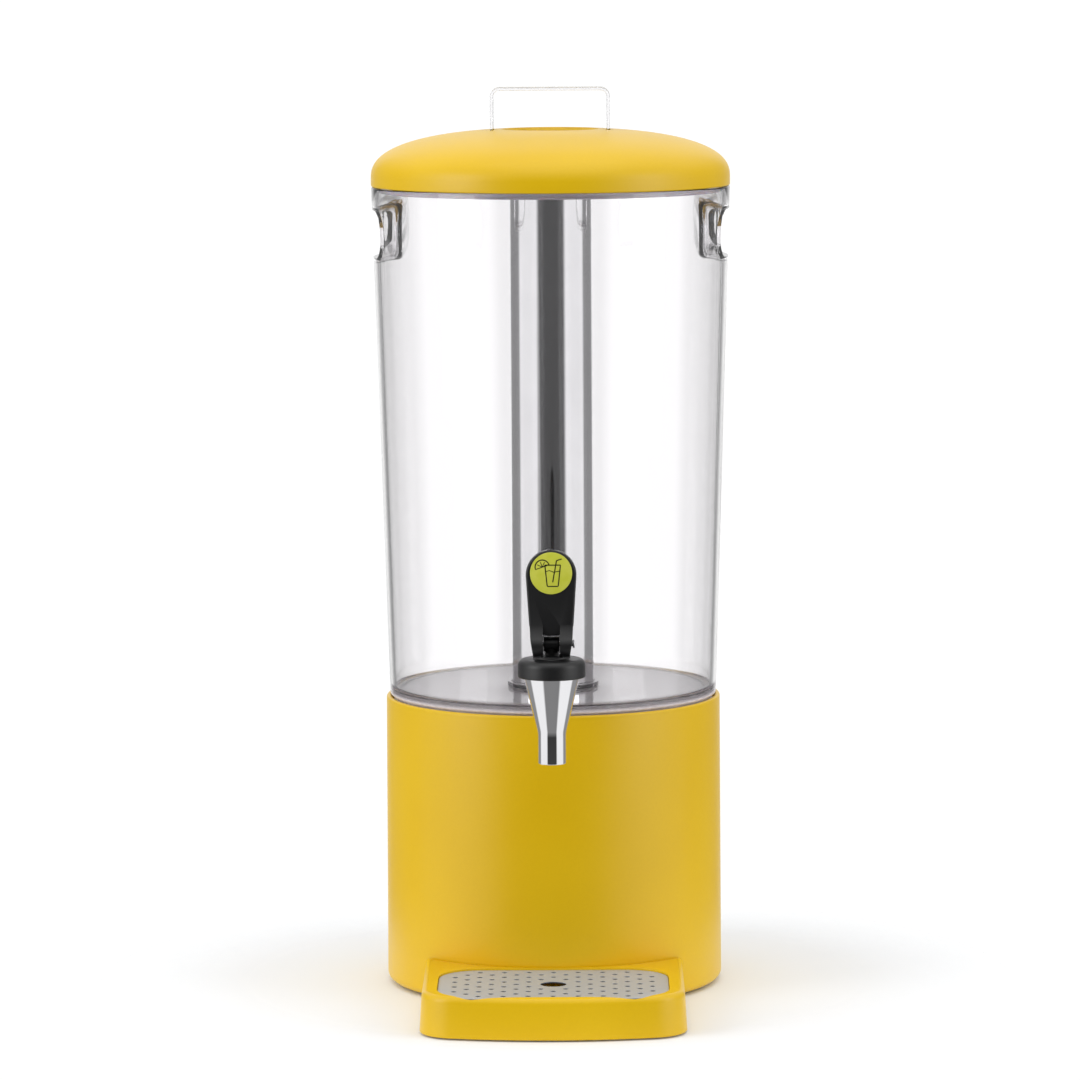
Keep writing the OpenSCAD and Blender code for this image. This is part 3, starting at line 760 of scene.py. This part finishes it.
# %% [markdown]
# ## Washers and nut
# A milky washer seals the shank against the tank from outside and another one from inside,
# where a hexagonal nut holds it. The washers follow the tank's curve, so those of the frame
# stay and take the silicone finish. The nut is a six-sided bar with rounded corners and a bore.

# %% Washers and nut
keep("outer_washer", SILICONE)
keep("inner_washer", SILICONE)
nut_low, nut_high = box_mm("shank_nut")
nut = rod("shank_nut_moulded", 13.5, nut_low.y, nut_high.y, "Y", SHANK_AXIS, 6)
edit(nut)
bpy.ops.mesh.select_all(action="SELECT")
bpy.ops.transform.rotate(value=math.radians(30), orient_axis="Y",
                         center_override=(0, 0, SHANK_Z * MM))
soften(nut, 0.9, angle=50)
combine(nut, rod("bore", 7.95, nut_low.y - 1, nut_high.y + 1, "Y", SHANK_AXIS, 64))
finish(nut, "tank", "black_plastic", BLACK, "shank_nut")
print("nut from y", round(nut_low.y, 1), "to", round(nut_high.y, 1))

# %% [markdown]
# ## Inside the tap
# The soft cup under the stem and its spring work inside the body, where they aren't seen. The
# frame's own cup stays and only takes a finish. The spring is a round wire wound with a screw
# step.

# %% Seat cup and spring
keep("seat_cup", SILICONE)
SPRING_R, WIRE_R, COILS, COIL_STEPS, STEM_LIFT = 6.9, 0.5, 6, 28, 4.2
spring_low, spring_high = (corner.z for corner in box_mm("tap_spring"))
coil_rise = spring_high - spring_low - 2 * WIRE_R
spring = draw("tap_spring_wound", arc(SPRING_R, spring_low + WIRE_R, WIRE_R, 0, 330, 11), "XZ", 0)
modify(spring, "SCREW", angle=COILS * 2 * math.pi, screw_offset=coil_rise * MM,
       steps=COILS * COIL_STEPS, render_steps=COILS * COIL_STEPS)
edit(spring, "VERT")
bpy.ops.mesh.select_all(action="SELECT")
bpy.ops.mesh.fill_holes(sides=0)
bpy.ops.transform.translate(value=(0, TAP_Y * MM, 0))
tidy_mesh(spring)
finish(spring, "tank", "fastener_steel", FASTENER, "tap_spring")
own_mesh(spring)

# %% [markdown]
# ## The stem and its pin
# The stem is a short bar with a foot below and an eye above, through which the pin passes. The
# pin is steel, with one domed head.

# %% Stem and pin
stem = turned("tap_stem_moulded", [
    (0, 203.6, 0), (9, 203.6, 0.6), (9, 205.6, 0.4), (4, 205.6, 0.5), (4, 240.5, 0),
    (0, 240.5, 0)], 64, TAP_AXIS, closed=False)
combine(stem, rod("eye", 4.8, -4.8, 4.8, "X", PIN_AXIS, 48, 0.5), "UNION")
combine(stem, rod("drill", 1.52, -7, 7, "X", PIN_AXIS, 32))
finish(stem, "stem", "black_plastic", BLACK, "tap_stem")
pin = rod("pivot_pin_turned", 1.5, -12.4, 13.2, "X", PIN_AXIS, 32, 0.3)
combine(pin, rod("head", 2.5, 13.0, 14.5, "X", PIN_AXIS, 32, 0.7), "UNION")
finish(pin, "stem", "fastener_steel", FASTENER, "pivot_pin")

# %% [markdown]
# ## The handle
# The handle is a paddle for the thumb above a fork of two ears. The paddle is an outline with a
# U-shaped lower end, extruded and rounded all round. Each ear is a cam lobe that presses on the
# bonnet, with a slope that runs up behind the paddle, so the paddle's lower end stands proud of
# the ears. The parts are joined, and the pin's hole and the badge's seat are drilled.

# %% Handle
EAR_IN_X, BADGE_Z = 5.25, 284.5


def paddle_outline():
    turns = [math.radians(a) for a in range(180, 361, 9)]
    low = [Vector((13.75 * math.cos(t), 252.6 + 7.0 * math.sin(t))) for t in turns]
    return low + arc(0, 283.0, 15.65, -4, 184, 40)


def ear_outline():
    lobe = [(p.x, p.y, 0.0) for p in arc(TAP_Y - 8, PIN_Z, 6.9, 128, 270, 16)]
    return rounded(lobe + [
        (TAP_Y - 4, 233.6, 2.0), (TAP_Y, 233.9, 2.0), (TAP_Y + 5.4, 236.2, 2.5),
        (TAP_Y + 5.5, 241.0, 3.0), (TAP_Y - 1.2, 256.0, 3.0), (TAP_Y - 6.6, 256.0, 0.5)])


def ear_front():
    return rounded([
        (EAR_IN_X, 230, 0), (10.9, 230, 0), (11.3, 233.0, 2.0), (13.0, 243.5, 6),
        (13.7, 258, 0), (EAR_IN_X, 258, 0)])


handle = prism("tap_handle_moulded", paddle_outline(), "XZ", TAP_Y - 8.5, TAP_Y - 0.5)
soften(handle, 1.3, 4, 50)
for side in (-1, 1):
    ear = prism("ear", ear_outline(), "YZ", *sorted((side * EAR_IN_X, side * 16)))
    mirror = [Vector((side * p[0], p[1])) for p in ear_front()]
    combine(ear, prism("ear_front", mirror, "XZ", TAP_Y - 30, TAP_Y + 30), "INTERSECT")
    soften(ear, 0.8, angle=50)
    combine(handle, ear, "UNION")
combine(handle, rod("drill", 1.56, -20, 20, "X", PIN_AXIS, 32))
combine(handle, rod("seat", 13.1, TAP_Y - 12, TAP_Y - 7.7, "Y", (0, BADGE_Z), 96))
finish(handle, "handle", "black_plastic", BLACK, "tap_handle", angle=35)

# %% [markdown]
# ## The badge
# A round printed disc is pressed into the paddle. Its print is a sign of our own: a tapered
# tumbler, a straw and half a slice of fruit, in thin dark lines that stand a hair proud.

# %% Badge
def badge_finish():
    recipe = Recipe("badge_print", Roughness=0.35)
    slow = recipe.noise(120.0, 2.0)
    dots = recipe.noise(1800.0, 2.0)
    colour = recipe.mix(recipe.span(slow, 0.35, 0.65, 0.0, 1.0),
                        rgb(204, 208, 66), rgb(212, 214, 84))
    rough = recipe.span(dots, 0.3, 0.7, 0.3, 0.42)
    return recipe.surface(colour, rough, dots, 0.00002, 0.5)


BADGE = badge_finish()
badge_y = TAP_Y - 8.9
badge = rod("badge_disc", 13.0, badge_y, badge_y + 1.2, "Y", (0, BADGE_Z), 96, 0.3)
finish(badge, "handle", "badge_print", BADGE, "handle_badge")

# %% Badge print
def stroke(name, points, width, closed=False):
    """A thin flat line along points on the badge's face."""
    path = points + points[:1] if closed else points
    line = draw(name, path, "XZ", badge_y - 0.04, closed=False)
    edit(line, "EDGE")
    bpy.ops.mesh.select_all(action="SELECT")
    bpy.ops.mesh.extrude_region_move(TRANSFORM_OT_translate={"value": (0, 0.1 * MM, 0)})
    modify(line, "SOLIDIFY", thickness=width * MM, offset=0)
    return line


cup = stroke("cup", rounded([
    (-2.4, 276.4, 0.8), (4.4, 276.4, 0.8), (5.8, 289.6, 0.3), (-3.8, 289.6, 0.3)]), 0.7, True)
level = stroke("level", [(-3.3, 285.6), (-1.0, 286.3), (1.6, 285.2), (5.3, 285.9)], 0.5)
straw = stroke("straw", rounded([
    (1.0, 279.0, 0), (3.4, 292.4, 0.6), (6.6, 293.4, 0)], closed=False), 0.7)
fruit_x, fruit_z, RAY = -5.4, 288.4, 3.4
slice_edge = stroke("slice_edge", arc(fruit_x, fruit_z, 4.4, 20, 200, 20), 0.7, True)
tips = [(fruit_x + RAY * math.cos(t), fruit_z + RAY * math.sin(t))
        for t in (math.radians(65), math.radians(110), math.radians(155))]
rays = [stroke("ray", [(fruit_x, fruit_z), tip], 0.45) for tip in tips]
sign = joined("badge_sign", [cup, level, straw, slice_edge] + rays)
finish(sign, "handle", "badge_print", BLACK)

# %% [markdown]
# ## The drip tray
# The tray hugs the base with a hollowed back, and its front bows outwards. Its sides lean in a
# little so that it leaves the mould, and its upper edge is rounded. One outline is drawn at
# several heights, each a little smaller, and the loops are bridged. The hollow under the panel,
# the basin and the seat for the grille are cut from it afterwards.

# %% Tray outline
def tray_points(side=0.0, back=0.0):
    """The tray's outline moved inwards at its front and sides, and at its back."""
    corner_x, corner_y, bow_y = 58.0, -179.36, 71
    front_r, corner_r = 282.0 - side, 25.0 - side
    lean = math.degrees(math.atan2(corner_x, bow_y - corner_y))
    half, hug = 83.0 - side, 109.0 + back
    rear = -math.sqrt(hug ** 2 - half ** 2)
    points = [Vector((-half, rear))]
    points += arc(-corner_x, corner_y, corner_r, 180, 270 - lean, 10)
    points += arc(0, bow_y, front_r, 270 - lean, 270 + lean, 24)[1:-1]
    points += arc(corner_x, corner_y, corner_r, 270 + lean, 360, 10)
    points.append(Vector((half, rear)))
    open_angle = math.degrees(math.asin(half / hug))
    points += arc(0, 0, hug, 270 + open_angle, 270 - open_angle, 28)[1:-1]
    return points


def stacked(name, layers):
    """Bridges outlines drawn at several heights and closes both ends."""
    loops = [draw(name, points, "XY", z) for points, z in layers]
    piece = joined(name, loops)
    edit(piece, "EDGE")
    bpy.ops.mesh.select_all(action="SELECT")
    bpy.ops.mesh.bridge_edge_loops()
    for z in (layers[0][1], layers[-1][1]):
        pick_level(piece, z)
        bpy.ops.mesh.edge_face_add()
    tidy_mesh(piece)
    return piece


SHOULDER_Z, SHOULDER_IN, BACK_IN = 22.8, 1.3, 0.1
layers = [
    (tray_points(0.5, 0.2), 1.0), (tray_points(0.05), 1.5),
    (tray_points(SHOULDER_IN, BACK_IN), SHOULDER_Z)]
for step in range(1, 7):
    turn = math.radians(15 * step)
    shrink = 1 - math.cos(turn)
    outline = tray_points(SHOULDER_IN + 4.1 * shrink, BACK_IN + 1.2 * shrink)
    layers.append((outline, SHOULDER_Z + 4.2 * math.sin(turn)))
tray = stacked("drip_tray_moulded", layers)
print("tray solid:", len(tray.data.polygons), "faces")

# %% Tray hollows
GRILLE_Y, FOOT_X, FOOT_Y = -158.0, 54, 32


def grille_outline(grow):
    return box_outline(143.4 + 2 * grow, 92.5 + 2 * grow, 26 + grow, (0, GRILLE_Y))


under = stacked("under", [
    (tray_points(2.6, 2.6), -1), (tray_points(3.9, 2.7), 22.0), (tray_points(5.5, 3.2), 24.4)])
combine(under, prism("basin", grille_outline(-0.9), "XY", 1.0, 30))
combine(tray, under)
for grow, floor in ((0.4, GRILLE_LOW_Z), (-3.5, 3.6)):
    seat = prism("seat", grille_outline(grow), "XY", floor, 40)
    if grow < 0:
        soften(seat, 2.0, 4, 60)
    combine(tray, seat)
for x in (-FOOT_X, FOOT_X):
    for y in (-FOOT_Y, FOOT_Y):
        combine(tray, rod("socket", 6.1, -1, 2.0, centre=(x, GRILLE_Y + y), sides=48))
finish(tray, "tray", "yellow_plastic", YELLOW, "drip_tray", angle=35)
keep("tray_feet", RUBBER)

# %% [markdown]
# ## The grille
# A brushed sheet with rows of small punched holes and a wide one in the middle. One punch is
# modelled, copied to all places and joined, and the sheet is cut with it once.

# %% Grille
PITCH, HOLE_R, WIDE_HOLE_R = 7.7, 1.85, 8.15


def hole_places():
    """Staggered columns of holes, the outer ones cut short and the middle left free."""
    for column in range(-8, 9):
        rows = 5 if column % 2 else 6
        limit = 4 if abs(column) == 8 else rows
        for row in range(rows):
            step = row - (rows - 1) / 2
            if 2 * abs(step) <= limit - 1 and (abs(column) > 1 or abs(step) > 0.5):
                yield column * PITCH, GRILLE_Y + 2 * step * PITCH


grille = prism("drip_grille_punched", grille_outline(0), "XY", GRILLE_LOW_Z, GRILLE_TOP_Z)
soften(grille, 0.3, 2, 60)
places = list(hole_places())
punch = rod("punch", HOLE_R, 20, 30, centre=places[0], sides=20)
punches = [punch]
for x, y in places[1:]:
    only(punch)
    bpy.ops.object.duplicate()
    edit(bpy.context.object)
    bpy.ops.mesh.select_all(action="SELECT")
    bpy.ops.transform.translate(value=((x - places[0][0]) * MM, (y - places[0][1]) * MM, 0))
    nothing()
    punches.append(bpy.context.object)
punches.append(rod("punch", WIDE_HOLE_R, 20, 30, centre=(0, GRILLE_Y), sides=64))
combine(grille, joined("punches", punches), many=True)
finish(grille, "grille", "steel_sheet", PUNCHED, "drip_grille")
print(len(places), "small holes")

# %% [markdown]
# ## Floor, light and camera
# The dispenser stands on a plain pale floor that fades out, in a white room. The room is bright
# at the sides and overhead and dim in front, so that rounded metal shows a dark middle band
# between bright flanks. Seen straight, or through clear plastic, the room is plain white.

# %% Floor
FLOOR_R, FADE_FROM, FADE_TO = 0.40, 0.20, 0.33
nothing()
bpy.ops.mesh.primitive_circle_add(
    vertices=96, radius=FLOOR_R, fill_type="NGON", location=(0, 0, -0.0002))
floor = bpy.context.object
floor.name = "floor"
floor_recipe = Recipe("pale_floor", Roughness=0.9)
floor_tone = floor_recipe.mix(floor_recipe.span(floor_recipe.noise(4.0), 0.3, 0.7, 0.0, 1.0),
                              (0.90, 0.925, 0.965, 1), (0.92, 0.945, 0.985, 1))
across, along = (
    floor_recipe.add("ShaderNodeSeparateXYZ", None, floor_recipe.place, out=i) for i in (0, 1))
reach = (across * across + along * along) ** 0.5
fade = floor_recipe.span(reach, FADE_FROM, FADE_TO, 1.0, 0.0)
floor.data.materials.append(floor_recipe.feed(Base_Color=floor_tone, Alpha=fade))
print(f"floor of radius {FLOOR_R} m, faded out from {FADE_FROM} to {FADE_TO} m")

# %% Room
FRONT_DIM, FRONT_LOW, FLANK_DIM, ROOM = 0.02, 0.30, 0.30, 1.0
world = bpy.data.worlds.new("studio")
bpy.context.scene.world = world
world.use_nodes = True


class Room(Recipe):
    """The same shader maths in the world's node tree."""

    def __init__(self, room):
        self.tree = room.node_tree
        self.shader = self.tree.nodes["Background"]


room = Room(world)
way = room.add("ShaderNodeTexCoord", out="Generated")
split = room.tree.nodes.new("ShaderNodeSeparateXYZ")
room.plug(split.inputs[0], way)
x, y, z = (Value(room, s) for s in split.outputs)
level = (x * x + y * y + 0.000001) ** 0.5
ahead = (y * -1) / level
front = room.span(ahead, 0.74, 0.83, 0.0, 1.0)
flank = room.span(ahead, -0.14, -0.26, 0.0, 1.0) * room.span(ahead, -0.96, -0.90, 0.0, 1.0)
under = room.span(z, -0.16, -0.62, FRONT_DIM, FRONT_LOW)
overhead = room.span(z, 0.3, 0.62, 1.0, 0.0)
glow = room.span(front * overhead, 0.0, 1.0, 1.0, 0.0) * ROOM + front * overhead * under
glow = glow * (1.0 - flank * overhead * (1.0 - FLANK_DIM))
shade = room.tree.nodes.new("ShaderNodeCombineColor")
for socket in shade.inputs:
    room.plug(socket, glow)
bright = Value(room, shade.outputs[0])
path = room.tree.nodes.new("ShaderNodeLightPath")
ray = {s.name: Value(room, s) for s in path.outputs}
unbent = ray["Is Transmission Ray"] * (ray["Glossy Depth"] < 0.5) * (ray["Diffuse Depth"] < 0.5)
seen = (ray["Is Camera Ray"] + unbent) > 0.5
room.plug(room.shader.inputs["Color"], room.mix(seen, bright, (1.05, 1.05, 1.05, 1)))
room.shader.inputs["Strength"].default_value = 1.0
print("room ready")

# %% Lamps
def softbox(name, spot, aim, width, height, power):
    """A large soft area light that points at a spot."""
    lamp = bpy.data.lights.new(name, "AREA")
    lamp.shape, lamp.size, lamp.size_y, lamp.energy = "RECTANGLE", width, height, power
    holder = bpy.data.objects.new(name, lamp)
    bpy.context.scene.collection.objects.link(holder)
    holder.location = spot
    holder.rotation_euler = (Vector(aim) - Vector(spot)).to_track_quat("-Z", "Y").to_euler()
    holder.visible_camera = False
    return holder


softbox("left_softbox", (-1.6, -0.9, 0.8), (0, 0, 0.3), 0.9, 1.4, 11.5)
softbox("right_softbox", (1.7, -0.8, 0.7), (0, 0, 0.3), 0.8, 1.3, 7)
softbox("top_softbox", (0.1, -0.3, 1.9), (0, 0, 0.2), 1.4, 1.4, 4)
bpy.context.scene.view_settings.view_transform = "Standard"
print("three softboxes")

# %% Camera
CAMERA_AT, CAMERA_AIM, CAMERA_ROLL = (0.02, -3.530, 0.683), (-0.008, 0, 0.2866), -0.33
lens = bpy.data.cameras.new("camera")
lens.sensor_width, lens.lens = 36.0, 183.3
lens.clip_start, lens.clip_end = 0.05, 30
camera = bpy.data.objects.new("camera", lens)
bpy.context.scene.collection.objects.link(camera)
camera.location = CAMERA_AT
gaze = Vector(CAMERA_AIM) - camera.location
roll = Quaternion((0, 0, 1), math.radians(CAMERA_ROLL))
camera.rotation_mode = "QUATERNION"
camera.rotation_quaternion = gaze.to_track_quat("-Z", "Y") @ roll
bpy.context.scene.camera = camera
print("camera", [round(v, 3) for v in camera.location])
